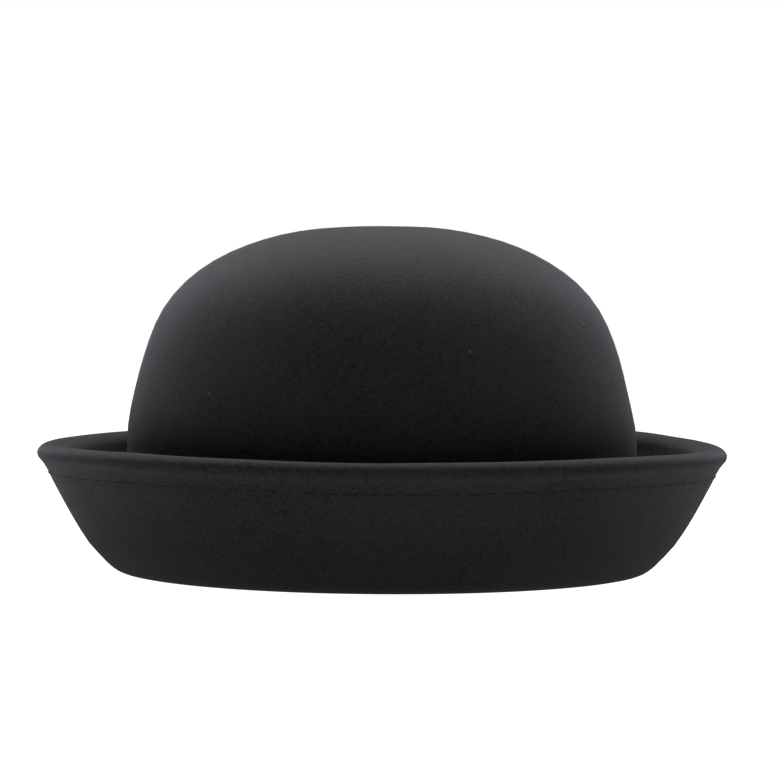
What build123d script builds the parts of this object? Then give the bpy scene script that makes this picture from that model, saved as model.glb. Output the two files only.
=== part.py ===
"""Roll-brim bowler hat in wool felt: one blocked felt shell and the pieces sewn into it.

Millimetres. +Z is up and the wearer looks along -Y. The origin is the middle of the
underside, on the narrow flat ring where the turned-up brim rests on a table.
"""

import math
import os

from build123d import *

# Driving dimensions of the felt. Widths are along X, and Y is longer by OVAL.
OVAL = 1.16
FELT = 2.0  # thickness of the wool felt
HAT_HEIGHT = 119.0
CROWN_HALF_WIDTH = 88.0  # outer face of the crown at the fold into the brim
CROWN_SIDE_TOP = (88.3, 44.0)  # half width and height where the straight side ends
FOLD_RADIUS = 1.4  # inside radius of the fold from crown to brim
FLOOR_WIDTH = 0.4  # flat ring of brim between its two bends
SOLE_PRESSED = 0.1  # how far the felt is pressed flat where the brim rests
TURN_UP_RADIUS = 6.4  # inside radius where the brim turns up
TURN_UP_ANGLE = 51.0  # how far the brim has turned up where its wall begins
RIM_HEIGHT = 43.2
RIM_HALF_WIDTH = 118.0  # outer face of the brim's wall at the rim
HEM_START = 0.74  # share of the wall's length below the hem's raw edge
HEM_GAP = 0.15  # between the hem and the wall at the hem's raw edge

# The crown's domed outline: half width, and distance below the top.
DOME_OUTLINE = [(29.0, 2.1), (50.3, 8.4), (67.0, 18.8), (76.9, 31.3), (82.7, 45.9), (86.4, 60.5)]
DOME_STEPS = 8  # points that carry the dome's outline to the underside

# The wire in the rim's fold, and the tube that joins its ends. Angles are in degrees.
WIRE_DIAMETER = 1.0
WIRE_CLEARANCE = 0.05
WIRE_END_ARC = 1.0  # between the wire's two ends
JOINER_ARC = 10.0
JOINER_BORE = 1.1
JOINER_DIAMETER = 1.6

# The sweatband and what is sewn to it.
BAND_WIDTH = 30.0
BAND_THICKNESS = 0.6
BAND_BOTTOM = 6.0
BAND_GAP = 0.3  # between the band and the felt
BAND_JOIN_ANGLE = 107.0  # middle of the overlapped ends
BAND_OVERLAP_ARC = 8.0
LABEL_THICKNESS = 0.3
CARE_LABEL_TOP = 34.0
CARE_LABEL_WIDTH = 20.0
CARE_LABEL_LENGTH = 26.0
CARE_LABEL_GAP = 0.4  # between the label's side edges and the band
SIZE_LABEL_TOP = 31.0
SIZE_LABEL_LENGTH = 16.0
SIZE_LABEL_GAP = 0.1
SIZE_LABEL_ANGLE = 73.0  # middle of the label
SIZE_LABEL_ARC = 9.0

# Sewing thread, and the length and pitch of the stitches.
THREAD = 0.4
THREAD_CLEARANCE = 0.05
HEM_STITCH = 5.2
HEM_STITCH_PITCH = 7.0
HEM_STITCH_PLACE = 0.845  # share of the wall's length below the stitch line
BAND_STITCH = 3.6
BAND_STITCH_PITCH = 6.0
BAND_STITCH_HEIGHT = 8.2
JOIN_STITCH = 2.4
JOIN_STITCH_PITCH = 3.0
JOIN_STITCH_COUNT = 8
LABEL_STITCH = 2.4
LABEL_STITCH_ARC = 2.6
LABEL_STITCH_MARGIN = 1.4
CARE_LABEL_STITCH_COUNT = 5
SIZE_LABEL_STITCH_COUNT = 3

# Worked out from the dimensions above. Angles are counted from +X.
BACK = 90.0
RIM_FOLD_RADIUS = WIRE_DIAMETER / 2 + WIRE_CLEARANCE
FLOOR_TOP = FELT - SOLE_PRESSED
CROWN_BOTTOM = FLOOR_TOP + FOLD_RADIUS
FLOOR_END = CROWN_HALF_WIDTH + FOLD_RADIUS + FLOOR_WIDTH
CROWN_LEAN = (CROWN_SIDE_TOP[0] - CROWN_HALF_WIDTH) / (CROWN_SIDE_TOP[1] - CROWN_BOTTOM)
BAND_TOP = BAND_BOTTOM + BAND_WIDTH
BAND_DEPTH = FELT + BAND_GAP
BAND_FACE_DEPTH = BAND_DEPTH + BAND_THICKNESS


def crown_half_width(height, depth):
    """Half width of a face that lies this deep inside the crown's outer face."""
    return CROWN_HALF_WIDTH + CROWN_LEAN * (height - CROWN_BOTTOM) - depth


def beside(line, share, distance):
    """The point at a share of a line's length, moved to the line's right."""
    return line @ share + (line % share).rotate(Axis.Z, -90) * distance


def wall_place(half_width, height, lean, angle):
    """A plane on an oval wall: X runs along the ring, and Z points out of the wall.

    lean is the change in half width with each millimetre of height.
    """
    turn = math.radians(angle)
    spoke = Vector(math.cos(turn), math.sin(turn) * OVAL)
    along = Vector(-math.sin(turn), math.cos(turn) * OVAL)
    origin = spoke * half_width + Vector(0, 0, height)
    return Plane(origin, x_dir=along, z_dir=along.cross(spoke * lean + Vector(0, 0, 1)))


def ring_places(half_width, height, lean, pitch):
    """Planes spaced evenly all round an oval wall."""
    ring = EllipticalCenterArc((0, 0, height), half_width, half_width * OVAL, arc_size=360)
    count = round(ring.length / pitch)
    points = [ring @ (number / count) for number in range(count)]
    angles = [math.degrees(math.atan2(point.Y / OVAL, point.X)) for point in points]
    return [wall_place(half_width, height, lean, angle) for angle in angles]


def row_places(height, depth, angle, step, count):
    """Planes side by side in a short row on a face inside the crown."""
    first = angle - step * (count - 1) / 2
    angles = [first + step * number for number in range(count)]
    return [wall_place(crown_half_width(height, depth), height, CROWN_LEAN, turn) for turn in angles]


def add_stitches(places, length, side):
    """Add short lengths of thread along a wall, on its outer side (1) or inner side (-1)."""
    rise = side * (THREAD / 2 + THREAD_CLEARANCE)
    with Locations(*[place.offset(rise).location for place in places]):
        Box(length, THREAD, THREAD)


def add_strip(depth, thickness, bottom, top, start=0.0, arc=360.0):
    """Add a round strip this deep inside the crown's outer face, as a ring or part of one."""
    with BuildSketch(Plane.XZ.rotated((0, 0, start))) as section:
        with BuildLine():
            Polyline(
                (crown_half_width(bottom, depth), bottom),
                (crown_half_width(top, depth), top),
                (crown_half_width(top, depth + thickness), top),
                (crown_half_width(bottom, depth + thickness), bottom),
                close=True,
            )
        make_face()
    revolve(section.sketch, axis=Axis.Z, revolution_arc=arc)


# The felt in section, with X the distance from the axis and Y the height: the line of its
# upper face, from the top of the crown to the raw edge of the hem that is folded inwards.
with BuildLine() as felt_face:
    dome_points = [(half_width, HAT_HEIGHT - below) for half_width, below in DOME_OUTLINE]
    dome_ends = [(1, 0), (-CROWN_LEAN, -1)]
    dome = Spline((0, HAT_HEIGHT), *dome_points, CROWN_SIDE_TOP, tangents=dome_ends)
    side = Line(dome @ 1, (CROWN_HALF_WIDTH, CROWN_BOTTOM))
    fold = TangentArc(side @ 1, (CROWN_HALF_WIDTH + FOLD_RADIUS, FLOOR_TOP), tangent=(0, -1))
    floor = Line(fold @ 1, (FLOOR_END, FLOOR_TOP))
    turn_up = JernArc(floor @ 1, (1, 0), TURN_UP_RADIUS, TURN_UP_ANGLE)
    wall_top = (RIM_HALF_WIDTH - FELT, RIM_HEIGHT - FELT - RIM_FOLD_RADIUS)
    wall = TangentArc(turn_up @ 1, wall_top, tangent=turn_up % 1)
    rim_fold = JernArc(wall @ 1, wall % 1, RIM_FOLD_RADIUS, 180)
    hem = Line(rim_fold @ 1, beside(wall, HEM_START, -HEM_GAP))

# The line of the felt's underside, which is the outer face of the turned-up wall.
with BuildLine() as felt_underside:
    under_points = [beside(dome, step / DOME_STEPS, FELT) for step in range(DOME_STEPS + 1)]
    under_dome = Spline(*under_points, tangents=dome_ends)
    under_side = Line(under_dome @ 1, (CROWN_HALF_WIDTH - FELT, CROWN_BOTTOM))
    under_fold_end = (CROWN_HALF_WIDTH + FOLD_RADIUS, -SOLE_PRESSED)
    under_fold = TangentArc(under_side @ 1, under_fold_end, tangent=(0, -1))
    under_floor = Line(under_fold @ 1, (FLOOR_END, -SOLE_PRESSED))
    under_turn_up = JernArc(under_floor @ 1, (1, 0), TURN_UP_RADIUS + FELT, TURN_UP_ANGLE)
    outer_wall = TangentArc(under_turn_up @ 1, beside(wall, 1, FELT), tangent=under_turn_up % 1)
    rim = JernArc(outer_wall @ 1, outer_wall % 1, RIM_FOLD_RADIUS + FELT, 180)
    hem_back = Line(rim @ 1, beside(hem, 1, FELT))

# The felt: crown, brim, turned-up wall and folded hem are one blocked piece. Its underside
# is cut flat in the ring that it rests on.
with BuildPart() as felt_body:
    with BuildSketch(Plane.XZ):
        with BuildLine():
            add(felt_face.line)
            add(felt_underside.line)
            Line(dome @ 0, under_dome @ 0)
            Line(hem @ 1, hem_back @ 1)
        make_face()
    revolve(axis=Axis.Z)
    scale(by=(1, OVAL, 1))
    split(bisect_by=Plane.XY, keep=Keep.TOP)
felt_body.part.label = "felt_body"

# The spring wire in the rim's fold, open at the back inside the tube that joins its ends.
wire_radii = (rim_fold.arc_center.X, rim_fold.arc_center.X * OVAL)
wire_plane = Plane.XY.offset(rim_fold.arc_center.Y)

with BuildPart() as brim_wire:
    with BuildLine(wire_plane):
        rim_path = EllipticalCenterArc(
            (0, 0), *wire_radii, BACK + WIRE_END_ARC / 2, arc_size=360 - WIRE_END_ARC
        )
    with BuildSketch(Plane(rim_path @ 0, z_dir=rim_path % 0)):
        Circle(WIRE_DIAMETER / 2)
    sweep()
brim_wire.part.label = "brim_wire"

with BuildPart() as wire_joiner:
    with BuildLine(wire_plane):
        joiner_path = EllipticalCenterArc(
            (0, 0), *wire_radii, BACK - JOINER_ARC / 2, arc_size=JOINER_ARC
        )
    with BuildSketch(Plane(joiner_path @ 0, z_dir=joiner_path % 0)):
        Circle(JOINER_DIAMETER / 2)
        Circle(JOINER_BORE / 2, mode=Mode.SUBTRACT)
    sweep()
wire_joiner.part.label = "wire_joiner"

# The lockstitch through the hem: one row lies outside the wall, and one inside on the hem.
seam = outer_wall @ HEM_STITCH_PLACE
seam_lean = (outer_wall % HEM_STITCH_PLACE).X / (outer_wall % HEM_STITCH_PLACE).Y
hem_fall = (hem_back @ 1) - (hem_back @ 0)
hem_lean = hem_fall.X / hem_fall.Y
hem_seam = (hem_back @ 0).X + ((seam.Y - (hem_back @ 0).Y) * hem_lean)
outer_row = ring_places(seam.X, seam.Y, seam_lean, HEM_STITCH_PITCH)
inner_row = ring_places(hem_seam, seam.Y, hem_lean, HEM_STITCH_PITCH * hem_seam / seam.X)

with BuildPart() as hem_stitching:
    add_stitches(outer_row, HEM_STITCH, 1)
    add_stitches(inner_row, HEM_STITCH, -1)
hem_stitching.part.label = "hem_stitching"

# The sweatband: a ribbon ring whose ends overlap beside the middle of the back.
with BuildPart() as sweatband:
    add_strip(BAND_DEPTH, BAND_THICKNESS, BAND_BOTTOM, BAND_TOP)
    overlap_start = BAND_JOIN_ANGLE - BAND_OVERLAP_ARC / 2
    add_strip(
        BAND_FACE_DEPTH, BAND_THICKNESS, BAND_BOTTOM, BAND_TOP, overlap_start, BAND_OVERLAP_ARC
    )
    scale(by=(1, OVAL, 1))
sweatband.part.label = "sweatband"

# The running stitch that holds the sweatband's lower edge to the felt. It steps over the
# overlap, which the join's own stitches hold.
band_seam_width = crown_half_width(BAND_STITCH_HEIGHT, BAND_FACE_DEPTH)
band_row = ring_places(band_seam_width, BAND_STITCH_HEIGHT, CROWN_LEAN, BAND_STITCH_PITCH)
join_place = wall_place(band_seam_width, BAND_STITCH_HEIGHT, CROWN_LEAN, BAND_JOIN_ANGLE)
overlap_half = band_seam_width * math.radians(BAND_OVERLAP_ARC) / 2 * OVAL + BAND_STITCH / 2
band_row = [
    place for place in band_row if (place.origin - join_place.origin).length > overlap_half
]

with BuildPart() as sweatband_stitching:
    add_stitches(band_row, BAND_STITCH, -1)
sweatband_stitching.part.label = "sweatband_stitching"

# The zigzag that closes the sweatband's overlapped ends.
join_bottom = (BAND_BOTTOM + BAND_TOP - JOIN_STITCH_PITCH * (JOIN_STITCH_COUNT - 1)) / 2
join_heights = [join_bottom + JOIN_STITCH_PITCH * number for number in range(JOIN_STITCH_COUNT)]
join_depth = BAND_FACE_DEPTH + BAND_THICKNESS
join_row = [
    wall_place(crown_half_width(height, join_depth), height, CROWN_LEAN, BAND_JOIN_ANGLE)
    for height in join_heights
]

with BuildPart() as join_stitching:
    add_stitches(join_row, JOIN_STITCH, -1)
join_stitching.part.label = "join_stitching"

# The blank size label, sewn flat on the sweatband.
with BuildPart() as size_label:
    add_strip(
        BAND_FACE_DEPTH + SIZE_LABEL_GAP,
        LABEL_THICKNESS,
        SIZE_LABEL_TOP - SIZE_LABEL_LENGTH,
        SIZE_LABEL_TOP,
        SIZE_LABEL_ANGLE - SIZE_LABEL_ARC / 2,
        SIZE_LABEL_ARC,
    )
    scale(by=(1, OVAL, 1))
size_label.part.label = "size_label"

# The blank care label: a flap that hangs from its stitched top edge and lifts off the band.
label_half = CARE_LABEL_WIDTH / 2
care_label_band = crown_half_width(CARE_LABEL_TOP, BAND_FACE_DEPTH)
band_at_edges = OVAL * math.sqrt(care_label_band**2 - label_half**2)
hinge_y = band_at_edges - CARE_LABEL_GAP - LABEL_THICKNESS / 2

with BuildPart() as care_label:
    with Locations((0, hinge_y, CARE_LABEL_TOP)):
        Box(
            CARE_LABEL_WIDTH,
            LABEL_THICKNESS,
            CARE_LABEL_LENGTH,
            align=(Align.CENTER, Align.CENTER, Align.MAX),
        )
care_label.part.label = "care_label"

# The tacks that hold both labels.
care_tacks = row_places(
    CARE_LABEL_TOP + LABEL_STITCH_MARGIN / 2,
    BAND_FACE_DEPTH,
    BACK,
    LABEL_STITCH_ARC,
    CARE_LABEL_STITCH_COUNT,
)
size_label_face = BAND_FACE_DEPTH + SIZE_LABEL_GAP + LABEL_THICKNESS
size_tack_heights = (
    SIZE_LABEL_TOP - LABEL_STITCH_MARGIN,
    SIZE_LABEL_TOP - SIZE_LABEL_LENGTH + LABEL_STITCH_MARGIN,
)
size_tacks = [
    place
    for height in size_tack_heights
    for place in row_places(
        height, size_label_face, SIZE_LABEL_ANGLE, LABEL_STITCH_ARC, SIZE_LABEL_STITCH_COUNT
    )
]

with BuildPart() as label_stitching:
    add_stitches(care_tacks + size_tacks, LABEL_STITCH, -1)
label_stitching.part.label = "label_stitching"

os.makedirs("parts", exist_ok=True)
for piece in (
    felt_body,
    brim_wire,
    wire_joiner,
    hem_stitching,
    sweatband,
    sweatband_stitching,
    join_stitching,
    size_label,
    care_label,
    label_stitching,
):
    export_step(piece.part, f"parts/{piece.part.label}.step")
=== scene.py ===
"""Roll-brim bowler hat in black wool felt, with its wired hem, ribbon sweatband and labels.

Lengths are in metres. The hat stands on its brim with +Z up, and the wearer looks along -Y.
Each ring of the hat is an oval: its half width lies along X, and Y is longer by OVAL.
"""

import math

import bmesh
import bpy
import numpy as np
from bpy.props import FloatProperty, FloatVectorProperty, IntProperty, PointerProperty
from mathutils import Matrix, Vector, noise
from mathutils.bvhtree import BVHTree


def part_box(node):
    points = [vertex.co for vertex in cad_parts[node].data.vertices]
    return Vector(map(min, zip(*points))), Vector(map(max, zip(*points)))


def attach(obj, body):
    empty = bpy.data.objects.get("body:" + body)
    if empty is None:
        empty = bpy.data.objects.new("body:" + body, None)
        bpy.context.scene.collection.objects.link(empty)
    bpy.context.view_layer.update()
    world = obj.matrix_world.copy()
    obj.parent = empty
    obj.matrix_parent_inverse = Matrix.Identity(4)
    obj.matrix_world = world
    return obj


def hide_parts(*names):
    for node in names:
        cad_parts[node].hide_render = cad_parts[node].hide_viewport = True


bl_info = {
    "name": "Roll-Brim Bowler Hat",
    "version": (1, 0, 0),
    "blender": (4, 5, 0),
    "location": "3D View > Sidebar > Bowler Hat",
    "description": "Builds the looks of a wool felt bowler hat around its packed solids",
    "category": "Add Mesh",
}

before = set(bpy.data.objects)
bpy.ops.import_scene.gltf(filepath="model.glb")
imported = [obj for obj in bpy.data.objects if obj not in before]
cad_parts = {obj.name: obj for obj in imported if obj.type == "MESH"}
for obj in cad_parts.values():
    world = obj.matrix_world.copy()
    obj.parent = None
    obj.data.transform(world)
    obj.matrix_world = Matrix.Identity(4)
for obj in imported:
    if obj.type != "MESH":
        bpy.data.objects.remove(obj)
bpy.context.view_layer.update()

MM = 0.001
HAT = "hat"
CARE_LABEL = "care_label"
_, FELT_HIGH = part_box("felt_body")
BAND_LOW, BAND_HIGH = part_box("sweatband")
OVAL = FELT_HIGH.y / FELT_HIGH.x
BACK = 90.0  # angle of the middle of the back, counted from +X in degrees

# The section of the felt: half widths and heights of its upper and outer face.
CROWN_TOP = FELT_HIGH.z
DOME_OUTLINE = [
    (29.0, 2.1),
    (50.3, 8.4),
    (67.0, 18.8),
    (76.9, 31.3),
    (82.7, 45.9),
    (86.4, 60.5),
]  # half width, and distance below the top, in mm
CROWN_SIDE = (88.3 * MM, 44.0 * MM)
CROWN_FOOT = (88.0 * MM, 3.3 * MM)
CROWN_FLARE = (CROWN_SIDE[0] - CROWN_FOOT[0]) / (CROWN_SIDE[1] - CROWN_FOOT[1])
FOLD_RADIUS = 1.4 * MM
FLOOR_WIDTH = 0.4 * MM
TURN_UP_RADIUS = 6.4 * MM
TURN_UP_ANGLE = math.radians(51)
WALL_TOP = (116.0 * MM, 40.65 * MM)
RIM_FOLD_RADIUS = 0.55 * MM
HEM_END = (111.43 * MM, 30.66 * MM)
SEAM_HEIGHT = 33.8 * MM
WIRE_RING = (115.488 * MM, 40.852 * MM)

# How the rim of a worn-in hat dips at the front and lifts at the back, and over which
# heights and half widths this starts.
RIM_DIP = 1.4 * MM
RIM_LIFT = 4.2 * MM
RIM_SADDLE = 3.7 * MM
RIM_TILT = 2.2 * MM
RIM_TWIST = 1.3 * MM
LIFT_START, LIFT_END = 8 * MM, 40 * MM
LIFT_INSIDE, LIFT_OUTSIDE = 92 * MM, 98 * MM

# The middle of the sweatband's thickness, counted inwards from the crown's outer face, and
# how far its stitches stand off it and dive in.
BAND_DEPTH = 2.6 * MM
BAND_RISE, BAND_DIVE = 0.12 * MM, 0.3 * MM
BAND_NEEDLE = 60 * MM  # half width from which the needle comes

STITCHES_ROUND_HEM = 112
COLUMNS_PER_STITCH = 6


# --------------------------------------------------------------------------- shapes


def smooth_step(low, high, value):
    """0 below low, 1 above high, and a soft ramp between them. Takes arrays too."""
    share = np.clip((value - low) / (high - low), 0, 1)
    return share * share * (3 - 2 * share)


def bell(value, height, middle, width):
    """A soft bump of this height about a middle. Takes arrays too."""
    return height * np.exp(-(((value - middle) / width) ** 2))


def even_angles(turns):
    """Angles in radians on the oval for shares of its whole length, counted from +X."""
    fine = np.linspace(0, 2 * math.pi, 7201)
    middle = (fine[1:] + fine[:-1]) / 2
    steps = np.hypot(np.sin(middle), OVAL * np.cos(middle))
    length = np.concatenate([[0], np.cumsum(steps)])
    share = np.asarray(turns, float)
    whole = np.floor(share)
    return np.interp(share - whole, length / length[-1], fine) + whole * 2 * math.pi


def oval_point(half_width, height, angle):
    """The point at an angle in radians on the oval of this half width and height."""
    return Vector((half_width * math.cos(angle), half_width * OVAL * math.sin(angle), height))


def oval_ways(angle):
    """The directions out of the oval and along it, at an angle in radians."""
    outwards = Vector((math.cos(angle), math.sin(angle) / OVAL, 0)).normalized()
    return outwards, Vector((-outwards.y, outwards.x, 0))


def crown_half_width(height, depth):
    """Half width of a face that lies this deep inside the crown's outer face."""
    return CROWN_FOOT[0] + CROWN_FLARE * (height - CROWN_FOOT[1]) - depth


def brim_lift(x, y, height):
    """How much higher the worn-in brim lies at a place than a flat-lying one."""
    reach = np.maximum(np.hypot(x, y / OVAL), 1 * MM)
    back, side = y / OVAL / reach, x / reach
    saddle = RIM_SADDLE * back**2 + ((RIM_LIFT - RIM_DIP) / 2 - RIM_SADDLE) * back**4
    tilt = RIM_TILT * back + ((RIM_LIFT + RIM_DIP) / 2 - RIM_TILT) * back**3
    twist = (1 + back / 2) * RIM_TWIST * back * np.minimum(side, 0)
    outside = smooth_step(LIFT_INSIDE, LIFT_OUTSIDE, reach)
    return (saddle + tilt + twist) * outside * smooth_step(LIFT_START, LIFT_END, height)


class Section:
    """A line in the felt's section, drawn piece by piece: points with their headings."""

    def __init__(self, start, heading):
        self.points = [(start[0], start[1], heading)]

    def spline(self, knots, end_heading, steps):
        """Draw a smooth curve through the knots, with the headings held at both ends."""
        x, z, heading = self.points[-1]
        through = np.array([(x, z), *knots])
        spans = np.hypot(*np.diff(through, axis=0).T)
        place = np.concatenate([[0], np.cumsum(spans)])
        count = len(through)
        system, right = np.zeros((count, count)), np.zeros((count, 2))
        system[0, 0] = system[-1, -1] = 1
        right[0] = math.cos(heading), math.sin(heading)
        right[-1] = math.cos(end_heading), math.sin(end_heading)
        for i in range(1, count - 1):
            before, after = spans[i - 1], spans[i]
            system[i, i - 1 : i + 2] = after, 2 * (before + after), before
            right[i] = 3 * (
                after / before * (through[i] - through[i - 1])
                + before / after * (through[i + 1] - through[i])
            )
        slopes = np.linalg.solve(system, right)
        for step in range(1, steps + 1):
            at = place[-1] * step / steps
            i = min(np.searchsorted(place, at, side="right") - 1, count - 2)
            span, t = spans[i], (at - place[i]) / spans[i]
            p, q, m, n = through[i], through[i + 1], slopes[i] * span, slopes[i + 1] * span
            spot = (
                (2 * t**3 - 3 * t**2 + 1) * p
                + (t**3 - 2 * t**2 + t) * m
                + (3 * t**2 - 2 * t**3) * q
                + (t**3 - t**2) * n
            )
            way = (6 * t**2 - 6 * t) * (p - q) + (3 * t**2 - 4 * t + 1) * m
            way = way + (3 * t**2 - 2 * t) * n
            self.points.append((spot[0], spot[1], math.atan2(way[1], way[0])))

    def run(self, end, shares):
        """Draw a straight line to a point, with a vertex at each share of it."""
        x, z, _ = self.points[-1]
        heading = math.atan2(end[1] - z, end[0] - x)
        for share in shares:
            self.points.append((x + (end[0] - x) * share, z + (end[1] - z) * share, heading))

    def bend(self, radius, turn, shares):
        """Draw an arc that turns left, with a vertex at each share of it."""
        x, z, heading = self.points[-1]
        centre_x, centre_z = x - radius * math.sin(heading), z + radius * math.cos(heading)
        for share in shares:
            now = heading + turn * share
            self.points.append(
                (centre_x + radius * math.sin(now), centre_z - radius * math.cos(now), now)
            )

    def arc_to(self, end, shares):
        """Draw the arc that leaves along the heading and ends at a point."""
        x, z, heading = self.points[-1]
        half_turn = math.atan2(end[1] - z, end[0] - x) - heading
        radius = math.hypot(end[0] - x, end[1] - z) / 2 / math.sin(half_turn)
        self.bend(radius, 2 * half_turn, shares)


def steps_of(count):
    """Even shares from just above 0 to 1."""
    return [number / count for number in range(1, count + 1)]


def section_line(bm, points):
    """Vertices and edges along points given as (half width, height)."""
    verts = [bm.verts.new((x, 0, z)) for x, z in points]
    return verts + [bm.edges.new(pair) for pair in zip(verts, verts[1:])]


def spin_section(bm, section, angle, steps):
    """Spin a section round the axis, and merge the seam of a full turn."""
    return bmesh.ops.spin(
        bm,
        geom=section,
        cent=(0, 0, 0),
        axis=(0, 0, 1),
        dvec=(0, 0, 0),
        angle=angle,
        steps=steps,
        use_merge=angle == 2 * math.pi,
        use_normal_flip=False,
        use_duplicate=False,
    )


def close_up(bm):
    """Merge doubled vertices, and turn every face outwards."""
    bmesh.ops.remove_doubles(bm, verts=bm.verts, dist=0.01 * MM)
    bmesh.ops.dissolve_degenerate(bm, dist=0.001 * MM, edges=bm.edges)
    bmesh.ops.recalc_face_normals(bm, faces=bm.faces)


def make_piece(bm, name, body, material, nodes):
    """Turn a bmesh into a piece that rides on a body and stands for CAD nodes."""
    mesh = bpy.data.meshes.new(name)
    bm.to_mesh(mesh)
    bm.free()
    mesh.materials.append(material)
    mesh.shade_smooth()
    piece = bpy.data.objects.new(name, mesh)
    bpy.context.scene.collection.objects.link(piece)
    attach(piece, body)
    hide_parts(*nodes)
    return piece


def mesh_points(mesh):
    """A mesh's vertices as an array."""
    points = np.empty(len(mesh.vertices) * 3)
    mesh.vertices.foreach_get("co", points)
    return points.reshape(-1, 3)


def set_mesh_points(mesh, points):
    """Move a mesh's vertices."""
    mesh.vertices.foreach_set("co", points.astype(np.float32).ravel())
    mesh.update()


def oval_ring(mesh):
    """Turn a mesh that was spun round into an oval one, with its columns evenly spaced."""
    points = mesh_points(mesh)
    reach = np.hypot(points[:, 0], points[:, 1])
    angle = even_angles(np.arctan2(points[:, 1], points[:, 0]) / (2 * math.pi) % 1)
    points[:, 0] = reach * np.cos(angle)
    points[:, 1] = reach * np.sin(angle) * OVAL
    points[:, 2] += brim_lift(points[:, 0], points[:, 1], points[:, 2])
    set_mesh_points(mesh, points)


def face_tree(name):
    """A search tree of a finished piece's surface."""
    return BVHTree.FromObject(bpy.data.objects[name], bpy.context.evaluated_depsgraph_get())


def seat_on(tree, start, direction, along):
    """Where a line meets a surface: X along the row, and Z out of the surface."""
    spot, normal, _, _ = tree.ray_cast(start, direction)
    if spot is None:
        raise RuntimeError(f"no surface was met from {tuple(start)}")
    if normal.dot(direction) > 0:
        normal = -normal
    side = normal.cross(along).normalized()
    along = side.cross(normal)
    seat = Matrix((along, side, normal)).transposed().to_4x4()
    seat.translation = spot
    return seat


def band_seat(tree, angle, height):
    """A stitch's seat on the inner face of the sweatband, or of a label that lies on it."""
    start = oval_point(BAND_NEEDLE, height, angle)
    direction = Vector((start.x, start.y, 0)).normalized()
    return seat_on(tree, start, direction, oval_ways(angle)[1])


def stitch_mesh(length, thread, rise, dive):
    """One short stitch of thread along X that stands on Z and dives in at both ends."""
    bm = bmesh.new()
    radius = 0.8 * thread / 2  # pulled thinner than a slack thread
    turned = Matrix.Rotation(math.pi / 2, 4, "Y")
    bmesh.ops.create_circle(bm, cap_ends=True, segments=6, radius=radius, matrix=turned)
    stations = [-1.0, -0.86, -0.55, 0.0, 0.55, 0.86, 1.0]
    heights = [-dive, 0.45 * rise, rise, 1.1 * rise, rise, 0.45 * rise, -dive]
    bmesh.ops.translate(bm, verts=bm.verts, vec=(-length / 2, 0, heights[0]))
    face = bm.faces[:]
    before = (stations[0] * length / 2, heights[0])
    for share, height in zip(stations[1:], heights[1:]):
        grown = bmesh.ops.extrude_face_region(bm, geom=face)
        verts = [item for item in grown["geom"] if isinstance(item, bmesh.types.BMVert)]
        face = [item for item in grown["geom"] if isinstance(item, bmesh.types.BMFace)]
        now = (share * length / 2, height)
        bmesh.ops.translate(bm, verts=verts, vec=(now[0] - before[0], 0, now[1] - before[1]))
        before = now
    # Each extrusion leaves its first face across the thread. Those along its middle go.
    across = [face for face in bm.faces if abs(face.normal.x) > 0.9]
    reach = length / 2 - thread
    middle = [face for face in across if abs(face.calc_center_median().x) < reach]
    bmesh.ops.delete(bm, geom=middle, context="FACES_ONLY")
    close_up(bm)
    mesh = bpy.data.meshes.new("stitch")
    bm.to_mesh(mesh)
    bm.free()
    return mesh


def sew(seats, stitch):
    """A row of copies of a stitch, one at each seat. The stitch's own mesh is then done with."""
    bm = bmesh.new()
    for seat in seats:
        before = len(bm.verts)
        bm.from_mesh(stitch)
        bm.verts.ensure_lookup_table()
        bmesh.ops.transform(bm, matrix=seat, verts=bm.verts[before:])
    bpy.data.meshes.remove(stitch)
    return bm


def bent_strip(columns, rows, place):
    """A grid of cloth whose point at shares (along, up) is moved to place(along, up)."""
    bm = bmesh.new()
    uv_map = bm.loops.layers.uv.new("cloth")
    bmesh.ops.create_grid(bm, x_segments=columns, y_segments=rows, size=0.5)
    for face in bm.faces:
        for loop in face.loops:
            loop[uv_map].uv = (loop.vert.co.x + 0.5, loop.vert.co.y + 0.5)
    for vert in bm.verts:
        vert.co = place(vert.co.x + 0.5, vert.co.y + 0.5)
    return bm


def thicken(piece, thickness):
    """Give a strip of cloth its thickness, half to either side."""
    solid = piece.modifiers.new("cloth thickness", "SOLIDIFY")
    solid.thickness = thickness
    solid.offset = 0.0
    solid.use_even_offset = True


# --------------------------------------------------------------------------- materials


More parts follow.
